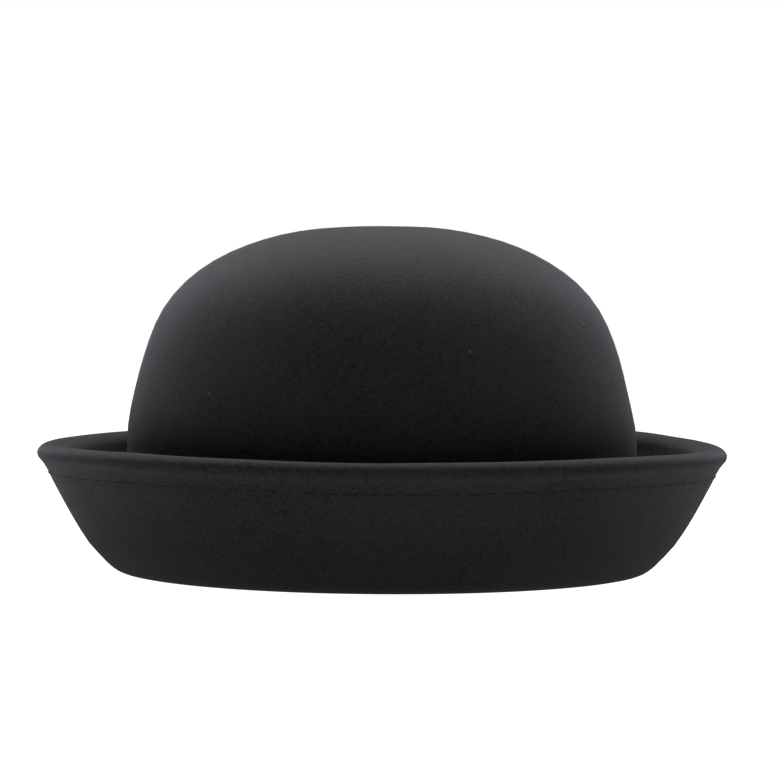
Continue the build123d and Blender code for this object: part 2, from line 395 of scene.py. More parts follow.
class Nodes:
    """A short way to lay out and join shader nodes."""

    def __init__(self, tree):
        self.tree = tree
        self.count = 0

    def feed(self, node, values):
        """Set a node's inputs by name or number, or link them to other nodes' outputs."""
        for name, value in values.items():
            if isinstance(value, bpy.types.NodeSocket):
                self.tree.links.new(value, node.inputs[name])
            else:
                node.inputs[name].default_value = value

    def add(self, kind, values=None, **settings):
        """Place a node, and return its outputs."""
        node = self.tree.nodes.new(kind)
        node.location = (self.count % 8 * 200, -(self.count // 8) * 320)
        self.count += 1
        for name, value in settings.items():
            setattr(node, name, value)
        self.feed(node, values or {})
        return node.outputs

    def group(self, tree, **values):
        """Place a node group."""
        return self.add("ShaderNodeGroup", values, node_tree=tree)

    def noise(self, place, scale, detail, roughness=0.5):
        """Cloudy noise: a value first, and a colour."""
        values = {"Vector": place, "Scale": scale, "Detail": detail, "Roughness": roughness}
        return self.add("ShaderNodeTexNoise", values)

    def math(self, operation, first, second=0.0, clamp=False):
        values = {0: first, 1: second}
        return self.add("ShaderNodeMath", values, operation=operation, use_clamp=clamp)[0]

    def line(self, value, factor, offset):
        """A value times a factor, plus an offset."""
        return self.math("ADD", self.math("MULTIPLY", value, factor), offset)

    def blend(self, first, second, share, clamp=False):
        """Two values weighed together, with the second's share."""
        first = self.math("MULTIPLY", first, 1 - share)
        return self.math("ADD", first, self.math("MULTIPLY", second, share), clamp)

    def ramp(self, value, low, high):
        """0 to 1 as a value goes from low to high."""
        values = {"Value": value, "From Min": low, "From Max": high}
        return self.add("ShaderNodeMapRange", values, interpolation_type="SMOOTHSTEP")[0]

    def mix(self, share, first, second):
        """A mix of two colours, whose sockets come after those for numbers and vectors."""
        return self.add("ShaderNodeMix", {0: share, 6: first, 7: second}, data_type="RGBA")[2]

    def relief(self, height, distance):
        """A normal bumped by a height, given the depth of the relief."""
        values = {"Height": height, "Distance": distance, "Strength": 1.0}
        return self.add("ShaderNodeBump", values)[0]


def node_group(name, inputs, outputs, fill):
    """A shader node group, built once: inputs by name with their defaults, and outputs."""
    found = bpy.data.node_groups.get(name)
    if found:
        return found
    group = bpy.data.node_groups.new(name, "ShaderNodeTree")
    sockets = group.interface
    sockets.new_socket("Vector", in_out="INPUT", socket_type="NodeSocketVector")
    for label, default in inputs.items():
        socket = sockets.new_socket(label, in_out="INPUT", socket_type="NodeSocketFloat")
        socket.default_value = default
    for label in outputs:
        sockets.new_socket(label, in_out="OUTPUT", socket_type="NodeSocketFloat")
    nodes = Nodes(group)
    made = fill(nodes, nodes.add("NodeGroupInput"))
    nodes.add("NodeGroupOutput", dict(zip(outputs, made)))
    return group


def matted_fibre():
    """Fibres matted together: short streaks that cross each other at all angles."""
    directions = [
        ((0.3, 0.5, 0.2), (1.0, 1.0, 0.4)),
        ((1.2, -0.4, 0.9), (0.4, 1.0, 1.0)),
        ((-0.7, 1.1, 2.1), (1.0, 0.4, 1.0)),
    ]  # how the streaks are turned, and how far they are stretched

    def fill(nodes, given):
        def vectors(operation, values):
            return nodes.add("ShaderNodeVectorMath", values, operation=operation)[0]

        drift = nodes.noise(given["Vector"], given["Clumps"], 2.0)["Color"]
        drift = vectors("SUBTRACT", {0: drift, 1: (0.5, 0.5, 0.5)})
        drift = vectors("SCALE", {0: drift, 3: given["Curl"]})
        bent = vectors("ADD", {0: given["Vector"], 1: drift})
        streaks = None
        for turn, stretch in directions:
            placed = {"Vector": bent, "Rotation": turn, "Scale": stretch}
            placed = nodes.add("ShaderNodeMapping", placed)[0]
            streak = nodes.noise(placed, given["Fibres"], 3.0, 0.6)[0]
            streak = nodes.math("ABSOLUTE", nodes.math("SUBTRACT", streak, 0.5))
            streak = nodes.ramp(streak, 0.16, 0.0)
            streaks = streak if streaks is None else nodes.math("MAXIMUM", streaks, streak)
        clumps = nodes.ramp(nodes.noise(bent, given["Clumps"], 4.0, 0.62)[0], 0.3, 0.7)
        return streaks, nodes.blend(streaks, clumps, 0.55)

    sizes = {"Fibres": 900.0, "Clumps": 500.0, "Curl": 0.001}
    return node_group("Matted fibre", sizes, ("Streaks", "Height"), fill)


def lint_specks():
    """A few pale specks of lint, far apart."""

    def fill(nodes, given):
        cells = {"Vector": given["Vector"], "Scale": given["Spacing"], "Randomness": 1.0}
        cells = nodes.add("ShaderNodeTexVoronoi", cells)
        near = nodes.math("LESS_THAN", cells["Distance"], given["Size"])
        lot = nodes.add("ShaderNodeSeparateColor", {0: cells["Color"]})[0]
        return (nodes.math("MULTIPLY", near, nodes.math("GREATER_THAN", lot, given["Rarity"])),)

    sizes = {"Spacing": 180.0, "Size": 0.07, "Rarity": 0.97}
    return node_group("Lint specks", sizes, ("Specks",), fill)


def woven_ribs():
    """Ribs across a ribbon or satin tape, counted along its cloth coordinates."""

    def fill(nodes, given):
        def wave(place, count):
            turns = nodes.math("MULTIPLY", nodes.math("MULTIPLY", place, count), 2 * math.pi)
            return nodes.line(nodes.math("SINE", turns), 0.5, 0.5)

        across = nodes.add("ShaderNodeSeparateXYZ", {0: given["Vector"]})
        ribs = wave(across[0], given["Ribs"])
        threads = wave(across[1], given["Threads"])
        uneven = nodes.noise(given["Vector"], given["Unevenness"], 3.0)[0]
        height = nodes.blend(ribs, nodes.math("MULTIPLY", threads, ribs), 0.3)
        height = nodes.math("MULTIPLY", height, nodes.line(uneven, 0.4, 0.8))
        return height, ribs, uneven

    sizes = {"Ribs": 100.0, "Threads": 50.0, "Unevenness": 30.0}
    return node_group("Woven ribs", sizes, ("Height", "Ribs", "Uneven"), fill)


def new_material(name, finish):
    """A material whose Principled inputs come from finish(nodes, object coordinates)."""
    material = bpy.data.materials.new(name)
    material.use_nodes = True
    material.node_tree.nodes.clear()
    nodes = Nodes(material.node_tree)
    place = nodes.add("ShaderNodeTexCoord")["Object"]
    shader = nodes.add("ShaderNodeBsdfPrincipled", finish(nodes, place))
    nodes.add("ShaderNodeOutputMaterial", {"Surface": shader[0]})
    return material


def shade(colour, amount=1.0):
    """A colour made darker or lighter, with its alpha."""
    return tuple(channel * amount for channel in colour) + (1.0,)


def wool_felt(settings):
    """Black wool felt: matte, matted fibres, and a soft blue-grey bloom at glancing angles."""

    def finish(nodes, place):
        fibre = nodes.group(
            matted_fibre(), Vector=place, Fibres=1300.0, Clumps=900.0, Curl=0.0011
        )
        cloudy = nodes.ramp(nodes.noise(place, 28.0, 3.0)[0], 0.3, 0.7)
        tone = nodes.ramp(nodes.blend(fibre["Height"], cloudy, 0.12, clamp=True), 0.1, 0.9)
        colour = nodes.mix(tone, shade(settings.colour, 0.35), shade(settings.colour, 1.65))
        lint = nodes.math("MULTIPLY", nodes.group(lint_specks(), Vector=place)["Specks"], 0.22)
        return {
            "Base Color": nodes.mix(lint, colour, shade(settings.bloom_colour, 0.22)),
            "Roughness": nodes.line(fibre["Streaks"], -0.12, 0.97),
            "Specular IOR Level": 0.02,
            "Sheen Weight": settings.bloom,
            "Sheen Roughness": 0.42,
            "Sheen Tint": shade(settings.bloom_colour),
            "Normal": nodes.relief(fibre["Height"], settings.nap_depth),
        }

    return new_material("wool felt", finish)


def sewing_thread(settings):
    """Spun black thread with a fine twist."""

    def finish(nodes, place):
        fibre = nodes.group(
            matted_fibre(), Vector=place, Fibres=5200.0, Clumps=2600.0, Curl=0.0002
        )
        dark, pale = shade(settings.thread_colour, 0.5), shade(settings.thread_colour, 1.7)
        return {
            "Base Color": nodes.mix(fibre["Height"], dark, pale),
            "Roughness": nodes.line(fibre["Streaks"], 0.2, 0.6),
            "Specular IOR Level": 0.1,
            "Normal": nodes.relief(fibre["Height"], 0.08 * MM),
        }

    return new_material("sewing thread", finish)


def ribbon_cloth(name, colour, ribs, threads, relief, roughness, sheen):
    """Woven ribbon: ribs across its length, on the piece's own cloth coordinates. Its colour has
    painted shade, darker in the hollows between the ribs, and random unevenness.
    """

    def finish(nodes, _):
        cloth = nodes.add("ShaderNodeUVMap", uv_map="cloth")[0]
        weave = nodes.group(
            woven_ribs(), Vector=cloth, Ribs=ribs, Threads=threads, Unevenness=24.0
        )
        # painted shade: the colour darkens where the rib height is low, in the hollows between
        # ribs, and also varies at random with the unevenness
        tone = nodes.blend(weave["Height"], weave["Uneven"], 0.3, clamp=True)
        return {
            "Base Color": nodes.mix(tone, shade(colour, 0.6), shade(colour, 1.15)),
            "Roughness": nodes.line(weave["Ribs"], -0.12, roughness),
            "Specular IOR Level": 0.35,
            "Sheen Weight": sheen,
            "Sheen Roughness": 0.3,
            "Normal": nodes.relief(weave["Height"], relief),
        }

    return new_material(name, finish)


def drawn_metal(name, colour):
    """Drawn metal with a fine grain and dull patches."""

    def finish(nodes, place):
        grain = nodes.noise(place, 4000.0, 4.0)[0]
        dull = nodes.ramp(nodes.noise(place, 300.0, 3.0)[0], 0.4, 0.7)
        return {
            "Base Color": nodes.mix(dull, shade(colour), shade(colour, 0.55)),
            "Roughness": nodes.line(dull, 0.25, 0.28),
            "Metallic": 1.0,
            "Normal": nodes.relief(grain, 0.02 * MM),
        }

    return new_material(name, finish)


# --------------------------------------------------------------------------- settings


def number_setting(name, description, default, low, high, unit="NONE"):
    """A number that a user may change."""
    return FloatProperty(
        name=name, description=description, default=default, min=low, max=high, unit=unit
    )


def length_setting(name, description, default, low, high):
    """A length that a user may change."""
    return number_setting(name, description, default, low, high, unit="LENGTH")


def colour_setting(name, description, default):
    """A colour that a user may change."""
    return FloatVectorProperty(
        name=name,
        description=description,
        default=default,
        min=0.0,
        max=1.0,
        size=3,
        subtype="COLOR",
    )


class HatFeltSettings(bpy.types.PropertyGroup):
    """The felt body."""

    thickness: length_setting("Felt thickness", "Thickness of the wool felt", 0.002, 0.001, 0.003)
    unevenness: length_setting(
        "Unevenness", "How far the blocked felt strays from a perfect shape", 0.00035, 0.0, 0.001
    )
    nap_depth: length_setting(
        "Nap depth", "Depth of the relief of the matted fibres", 0.00016, 0.0, 0.002
    )
    colour: colour_setting("Felt colour", "Dyed colour of the wool", (0.0070, 0.0069, 0.0070))
    bloom_colour: colour_setting(
        "Bloom colour", "Colour of the nap where light glances along it", (0.84, 0.84, 1.0)
    )
    bloom: FloatProperty(
        name="Bloom",
        description="How strongly the nap catches glancing light",
        default=0.05,
        min=0.0,
        max=1.0,
        subtype="FACTOR",
    )


class HatSewingSettings(bpy.types.PropertyGroup):
    """Every row of stitches."""

    thread: length_setting("Thread", "Diameter of the sewing thread", 0.0005, 0.0002, 0.001)
    hem_stitch: length_setting(
        "Hem stitch", "Length of a stitch that shows along the hem", 0.0052, 0.002, 0.007
    )
    band_stitch: length_setting(
        "Band stitch", "Length of a stitch that shows along the sweatband", 0.0036, 0.002, 0.005
    )
    band_stitches: IntProperty(
        name="Band stitches",
        description="Number of stitches round the sweatband",
        default=97,
        min=40,
        max=140,
    )
    thread_colour: colour_setting(
        "Thread colour", "Colour of the sewing thread", (0.004, 0.004, 0.0045)
    )


class HatBandSettings(bpy.types.PropertyGroup):
    """The ribbon sweatband and its labels."""

    ribbon_thickness: length_setting(
        "Ribbon thickness", "Thickness of the grosgrain ribbon", 0.0006, 0.0003, 0.001
    )
    label_thickness: length_setting(
        "Label thickness", "Thickness of the satin tape", 0.0003, 0.0001, 0.0006
    )
    ribbon_colour: colour_setting("Ribbon colour", "Colour of the sweatband", (0.014, 0.014, 0.016))
    label_colour: colour_setting("Label colour", "Colour of the blank labels", (0.78, 0.77, 0.74))


class HatStageSettings(bpy.types.PropertyGroup):
    """Floor, light and camera."""

    camera_distance: length_setting(
        "Camera distance", "Distance of the camera in front of the hat's middle", 1.0, 0.5, 3.0
    )
    camera_height: length_setting(
        "Camera height", "Height of the camera above the floor", 0.0785, 0.0, 1.0
    )
    lens: number_setting("Lens", "Focal length of the camera", 132.1, 35.0, 300.0, "CAMERA")
    surround: number_setting("Surround", "Strength of the white surround", 1.0, 0.0, 5.0)
    top_light: number_setting(
        "Top light", "Power of the softbox above the hat", 56.0, 0.0, 200.0, "POWER"
    )


# --------------------------------------------------------------------------- pieces


class HAT_OT_felt(bpy.types.Operator):
    """Block the felt body: crown, brim, turned-up wall and folded hem in one piece"""

    bl_idname = "hat.felt"
    bl_label = "Felt Body"

    # Where the outer face has vertices along the wall and the hem: closest by the seam.
    WALL_SHARES = [0.1, 0.2, 0.3, 0.4, 0.5, 0.58, 0.66, 0.73, 0.78, 0.8, 0.815, 0.83, 0.845]
    WALL_SHARES += [0.86, 0.875, 0.89, 0.905, 0.92, 0.935, 0.95, 0.965, 0.98, 1.0]
    HEM_SHARES = [0.12, 0.25, 0.4, 0.52, 0.58, 0.63, 0.67, 0.71, 0.76, 0.84, 0.94, 1.0]
    # The hem's raw edge is a soft cut: shares through the felt, and how far they bulge.
    RAW_EDGE = [(0.12, 0.22 * MM), (0.5, 0.34 * MM), (0.88, 0.22 * MM)]

    # Dents that run all round the outer face: depth, middle and width.
    WALL_DENTS = [
        (0.05 * MM, SEAM_HEIGHT, 1.0 * MM),  # the seam's groove
        (0.3 * MM, 24 * MM, 10 * MM),  # a hollow in the wall
        (-1.1 * MM, 40.2 * MM, 2.5 * MM),  # the bead over the wire, which swells outwards
    ]
    CORNER_DENT = (0.9 * MM, 95.5 * MM, 4 * MM)
    CORNER_START, WALL_START = 89.9 * MM, 100 * MM  # half widths where they begin

    # The thread pulls the felt in along the whole row, and more at each stitch's ends, where
    # the width is a share of a stitch.
    ROW_PULL, ROW_WIDTH = 0.03 * MM, 1.1 * MM
    END_PULL, END_WIDTH = 0.16 * MM, 0.16
    HEM_INSIDE, HEM_BOTTOM = 107 * MM, 27 * MM
    # The bead swells over the tube, for a share of a turn.
    TUBE_SWELLING, TUBE_SHARE = 0.25 * MM, 0.012
    BEAD_INSIDE, BEAD_MIDDLE, BEAD_WIDTH = 111 * MM, 41 * MM, 2.5 * MM
    # Shares of the unevenness everywhere, and more on the crown and the wall, over the heights
    # where it sets in. It leaves the ring that stands on the table flat.
    CROWN_REACH, WALL_REACH = 95 * MM, 97 * MM
    UNEVEN_ALL, UNEVEN_CROWN, UNEVEN_WALL = 0.15, 0.85, 0.55
    CROWN_SOFT, WALL_SOFT, OFF_TABLE = (30 * MM, 70 * MM), (6 * MM, 20 * MM), (0.2 * MM, 3 * MM)
    WAVES = [(24, 1.0), (61, 0.45)]  # waves in a metre or so, and their strength
    # The crown leans a little to one side above the sweatband.
    CROWN_LEAN, LEAN_HEIGHTS = 0.4 * MM, (38 * MM, 60 * MM)

    def execute(self, context):
        settings = context.scene.hat_felt
        thickness = settings.thickness
        face = self.face_line(22, steps_of(8), 4, steps_of(3))
        upper = [(x, z) for x, z, _ in face]
        face = self.face_line(14, self.WALL_SHARES, 9, self.HEM_SHARES)
        under = [self.underside(x, z, heading, thickness) for x, z, heading in face]
        edge_in, edge_out = Vector(upper[-1]), Vector(under[-1])
        way = (edge_in - Vector(upper[-2])).normalized()
        edge = [tuple(edge_in.lerp(edge_out, share) + way * out) for share, out in self.RAW_EDGE]
        bm = bmesh.new()
        section = section_line(bm, upper + edge + under[::-1])
        spin_section(bm, section, 2 * math.pi, STITCHES_ROUND_HEM * COLUMNS_PER_STITCH)
        close_up(bm)
        felt = make_piece(bm, "felt_hat", HAT, wool_felt(settings), ["felt_body"])
        self.work(felt.data, settings)
        return {"FINISHED"}

    @staticmethod
    def face_line(dome_steps, wall_shares, rim_steps, hem_shares):
        """The felt's upper face in section, from the crown's top to the hem's raw edge."""
        face = Section((0, CROWN_TOP), 0.0)
        knots = [(half * MM, CROWN_TOP - below * MM) for half, below in DOME_OUTLINE]
        face.spline([*knots, CROWN_SIDE], math.atan2(-1, -CROWN_FLARE), dome_steps)
        face.run(CROWN_FOOT, steps_of(4))
        face.points[-1] = (*CROWN_FOOT, -math.pi / 2)
        face.bend(FOLD_RADIUS, math.pi / 2, steps_of(4))
        x, z, _ = face.points[-1]
        face.run((x + FLOOR_WIDTH, z), [1.0])
        face.bend(TURN_UP_RADIUS, TURN_UP_ANGLE, steps_of(6))
        face.arc_to(WALL_TOP, wall_shares)
        face.bend(RIM_FOLD_RADIUS, math.pi, steps_of(rim_steps))
        face.run(HEM_END, hem_shares)
        return face.points

    def underside(self, x, z, heading, thickness):
        """The point through the felt's thickness, with the dents that run all round."""
        x = x + thickness * math.sin(heading)
        z = z - thickness * math.cos(heading)
        dent = 0.0
        if x > self.WALL_START:
            dent = sum(bell(z, *ring) for ring in self.WALL_DENTS)
        elif x > self.CORNER_START:
            dent = bell(x, *self.CORNER_DENT)
        return x - dent * math.sin(heading), max(z + dent * math.cos(heading), 0.0)

    def work(self, mesh, settings):
        """Pull the stitches in, make the ring oval, and add what steam and hands leave."""
        points = mesh_points(mesh)
        normals = np.empty(len(points) * 3)
        mesh.vertices.foreach_get("normal", normals)
        normals = normals.reshape(-1, 3)
        reach, height = np.hypot(points[:, 0], points[:, 1]), points[:, 2]
        turn = np.arctan2(points[:, 1], points[:, 0]) / (2 * math.pi) % 1
        place = turn * STITCHES_ROUND_HEM % 1
        pull = bell(np.minimum(place, 1 - place), self.END_PULL, 0.0, self.END_WIDTH)
        pull += self.ROW_PULL
        on_hem = (reach > self.HEM_INSIDE) & (height > self.HEM_BOTTOM)
        move = -pull * bell(height, 1.0, SEAM_HEIGHT, self.ROW_WIDTH) * on_hem
        bead = bell(height, 1.0, self.BEAD_MIDDLE, self.BEAD_WIDTH) * (reach > self.BEAD_INSIDE)
        move += bell(turn, self.TUBE_SWELLING, BACK / 360, self.TUBE_SHARE) * bead
        points = points + normals * move[:, None]
        height = points[:, 2]
        crown = smooth_step(*self.CROWN_SOFT, height) * (reach < self.CROWN_REACH)
        wall = smooth_step(*self.WALL_SOFT, height) * (reach > self.WALL_REACH)
        uneven = self.UNEVEN_ALL + self.UNEVEN_CROWN * crown + self.UNEVEN_WALL * wall
        uneven *= settings.unevenness * smooth_step(*self.OFF_TABLE, height)
        lean = self.CROWN_LEAN * smooth_step(*self.LEAN_HEIGHTS, height)
        points[:, 0] -= lean * (reach < self.CROWN_REACH)
        for i, point in enumerate(points):
            spot = Vector(point)
            wave = sum(share * noise.noise(spot * scale) for scale, share in self.WAVES)
            points[i] += normals[i] * wave * uneven[i]
        set_mesh_points(mesh, points)
        oval_ring(mesh)


class HAT_OT_rim_wire(bpy.types.Operator):
    """Lay the spring wire in the rim's fold, and join its ends in a tube at the back"""

    bl_idname = "hat.rim_wire"
    bl_label = "Rim Wire and Tube"

    STEEL, BRASS = (0.46, 0.46, 0.47), (0.72, 0.52, 0.26)
    FRONT = BACK + 180
    WIRE_RADIUS, WIRE_ARC, WIRE_STEPS = 0.5 * MM, 358.0, 240
    TUBE_RADIUS, TUBE_BORE, TUBE_ARC, TUBE_STEPS = 0.8 * MM, 0.55 * MM, 10.0, 24
    # Nips in the tube: the share of its size that goes, and their places and widths in degrees.
    CRIMPS = [(0.12, -2.6, 0.5), (0.12, 2.6, 0.5)]

    def execute(self, context):
        wire = self.ring([self.WIRE_RADIUS], self.FRONT, self.WIRE_ARC, self.WIRE_STEPS)
        metal = drawn_metal("spring wire", self.STEEL)
        wire = make_piece(wire, "rim_wire", HAT, metal, ["brim_wire"])
        oval_ring(wire.data)
        walls = [self.TUBE_RADIUS, self.TUBE_BORE]
        tube = self.ring(walls, BACK, self.TUBE_ARC, self.TUBE_STEPS)
        self.crimp(tube)
        metal = drawn_metal("brass tube", self.BRASS)
        tube = make_piece(tube, "wire_tube", HAT, metal, ["wire_joiner"])
        oval_ring(tube.data)
        return {"FINISHED"}

    @staticmethod
    def ring(radii, middle, arc, steps):
        """Part of a round ring of wire, or of tube if a second radius gives its bore."""
        bm = bmesh.new()
        place = Matrix.Translation((WIRE_RING[0], 0, WIRE_RING[1]))
        place = place @ Matrix.Rotation(math.pi / 2, 4, "X")
        for radius in radii:
            bmesh.ops.create_circle(bm, segments=12, radius=radius, matrix=place)
        section = bm.verts[:] + bm.edges[:]
        start = math.radians(middle - arc / 2)
        turn = Matrix.Rotation(start, 3, "Z")
        bmesh.ops.rotate(bm, verts=bm.verts, cent=(0, 0, 0), matrix=turn)
        spun = spin_section(bm, section, math.radians(arc), steps)
        for end in (section, spun["geom_last"]):
            loops = [item for item in end if isinstance(item, bmesh.types.BMEdge)]
            if len(radii) > 1:
                bmesh.ops.bridge_loops(bm, edges=loops)
            else:
                bmesh.ops.edgeloop_fill(bm, edges=loops)
        close_up(bm)
        return bm

    def crimp(self, bm):
        """Nip the tube onto the wire at two places."""
        for vert in bm.verts:
            angle = math.degrees(math.atan2(vert.co.y, vert.co.x)) - BACK
            nip = sum(bell(angle, *place) for place in self.CRIMPS)
            reach = math.hypot(vert.co.x, vert.co.y)
            vert.co.z = WIRE_RING[1] + (vert.co.z - WIRE_RING[1]) * (1 - nip)
            scale = (WIRE_RING[0] + (reach - WIRE_RING[0]) * (1 - nip)) / reach
            vert.co.x *= scale
            vert.co.y *= scale


class HAT_OT_hem_thread(bpy.types.Operator):
    """Sew the row of lockstitch that holds the folded hem, outside and inside"""

    bl_idname = "hat.hem_thread"
    bl_label = "Hem Stitching"

    RISE, DIVE = 0.10 * MM, 0.75 * MM
    # Half widths from which the needle comes, on either side of the wall, and its direction.
    NEEDLES = [(150 * MM, -1), (100 * MM, 1)]

    def execute(self, context):
        settings = context.scene.hat_sewing
        tree = face_tree("felt_hat")
        stitch = stitch_mesh(settings.hem_stitch, settings.thread, self.RISE, self.DIVE)
        seats = []
        for start, side in self.NEEDLES:
            for number in range(STITCHES_ROUND_HEM):
                angle = float(even_angles((number + 0.5) / STITCHES_ROUND_HEM))
                point = oval_point(start, SEAM_HEIGHT, angle)
                wall = oval_point(WIRE_RING[0], SEAM_HEIGHT, angle)
                point.z += float(brim_lift(wall.x, wall.y, SEAM_HEIGHT))
                outwards, along = oval_ways(angle)
                seats.append(seat_on(tree, point, outwards * side, along))
        row, thread = sew(seats, stitch), sewing_thread(settings)
        make_piece(row, "hem_thread", HAT, thread, ["hem_stitching"])
        return {"FINISHED"}


class HAT_OT_ribbon(bpy.types.Operator):
    """Lay the ribbon sweatband round the opening, with its ends overlapped"""

    bl_idname = "hat.ribbon"
    bl_label = "Ribbon Sweatband"

    START, OVERLAP = 103.0, 8.0  # degrees
    COLUMNS, ROWS = 460, 12
    RIB = 0.9 * MM
    THREADS_ACROSS = 46.0
    RELIEF = 0.22 * MM
    # The top edge stands off the felt a little, and here and there a little more.
    STAND_OFF = 0.18 * MM
    EDGE_WAVE = 0.06 * MM
    LAP_GAP = 0.05 * MM
    LAP_START = 0.985

    def execute(self, context):
        settings = context.scene.hat_band
        thickness = settings.ribbon_thickness
        bottom, top = BAND_LOW.z, BAND_HIGH.z
        turns = np.linspace(0, 1 + self.OVERLAP / 360, self.COLUMNS + 1)
        angles = even_angles(self.START / 360 + turns)

        def place(along, up):
            column = round(along * self.COLUMNS)
            angle, turn = float(angles[column]), float(turns[column])
            over = float(smooth_step(self.LAP_START, 1.0, turn))
            depth = BAND_DEPTH + over * (thickness + self.LAP_GAP)
            loose = noise.noise(Vector((math.cos(angle) * 3, math.sin(angle) * 3, up)))
            depth += self.STAND_OFF * (1 + loose) * float(smooth_step(0.25, 1.0, up))
            height = bottom + (top - bottom) * up
            if min(up, 1 - up) == 0:
                height += self.EDGE_WAVE * loose
            return oval_point(crown_half_width(height, depth), height, angle)

        bm = bent_strip(self.COLUMNS, self.ROWS, place)
        bmesh.ops.recalc_face_normals(bm, faces=bm.faces)
        half_width = crown_half_width(bottom, BAND_DEPTH)
        line = [oval_point(half_width, 0, float(angle)) for angle in angles]
        length = sum((end - start).length for start, end in zip(line, line[1:]))
        cloth = ribbon_cloth(
            "grosgrain ribbon",
            settings.ribbon_colour,
            ribs=length / self.RIB,
            threads=self.THREADS_ACROSS,
            relief=self.RELIEF,
            roughness=0.62,
            sheen=0.1,
        )
        ribbon = make_piece(bm, "ribbon_band", HAT, cloth, ["sweatband"])
        thicken(ribbon, thickness)
        rounded = ribbon.modifiers.new("woven edge", "BEVEL")
        rounded.width = 0.15 * MM
        rounded.segments = 2
        rounded.limit_method = "ANGLE"
        return {"FINISHED"}


class HAT_OT_band_thread(bpy.types.Operator):
    """Sew the sweatband to the felt, and close its overlapped ends with a zigzag"""

    bl_idname = "hat.band_thread"
    bl_label = "Sweatband Stitching"

    ROW_HEIGHT = 8.2 * MM
    ROW_DIVE = 0.35 * MM
    JOIN_ANGLE, JOIN_GAP = 107.0, 6.0  # degrees, with no stitch of the row in the gap
    JOIN_STEPS, JOIN_STEP = 8, 3.0 * MM
    JOIN_STITCH, JOIN_SLANT = 3.4 * MM, 62.0

    def execute(self, context):
        settings = context.scene.hat_sewing
        tree = face_tree("ribbon_band")
        thread = bpy.data.materials["sewing thread"]
        turns = [number / settings.band_stitches for number in range(settings.band_stitches)]
        seats = [
            band_seat(tree, float(even_angles(turn)), self.ROW_HEIGHT)
            for turn in turns
            if abs(turn * 360 - self.JOIN_ANGLE) >= self.JOIN_GAP
        ]
        stitch = stitch_mesh(settings.band_stitch, settings.thread, BAND_RISE, self.ROW_DIVE)
        row = sew(seats, stitch)
        make_piece(row, "band_thread", HAT, thread, ["sweatband_stitching"])

        seats = []
        lowest = (BAND_LOW.z + BAND_HIGH.z - self.JOIN_STEP * (self.JOIN_STEPS - 1)) / 2
        angle = float(even_angles(self.JOIN_ANGLE / 360))
        for number in range(self.JOIN_STEPS):
            seat = band_seat(tree, angle, lowest + self.JOIN_STEP * number)
            slant = math.radians(self.JOIN_SLANT if number % 2 else -self.JOIN_SLANT)
            seats.append(seat @ Matrix.Rotation(slant, 4, "Z"))
        stitch = stitch_mesh(self.JOIN_STITCH, settings.thread, BAND_RISE, BAND_DIVE)
        zigzag = sew(seats, stitch)
        make_piece(zigzag, "join_thread", HAT, thread, ["join_stitching"])
        return {"FINISHED"}


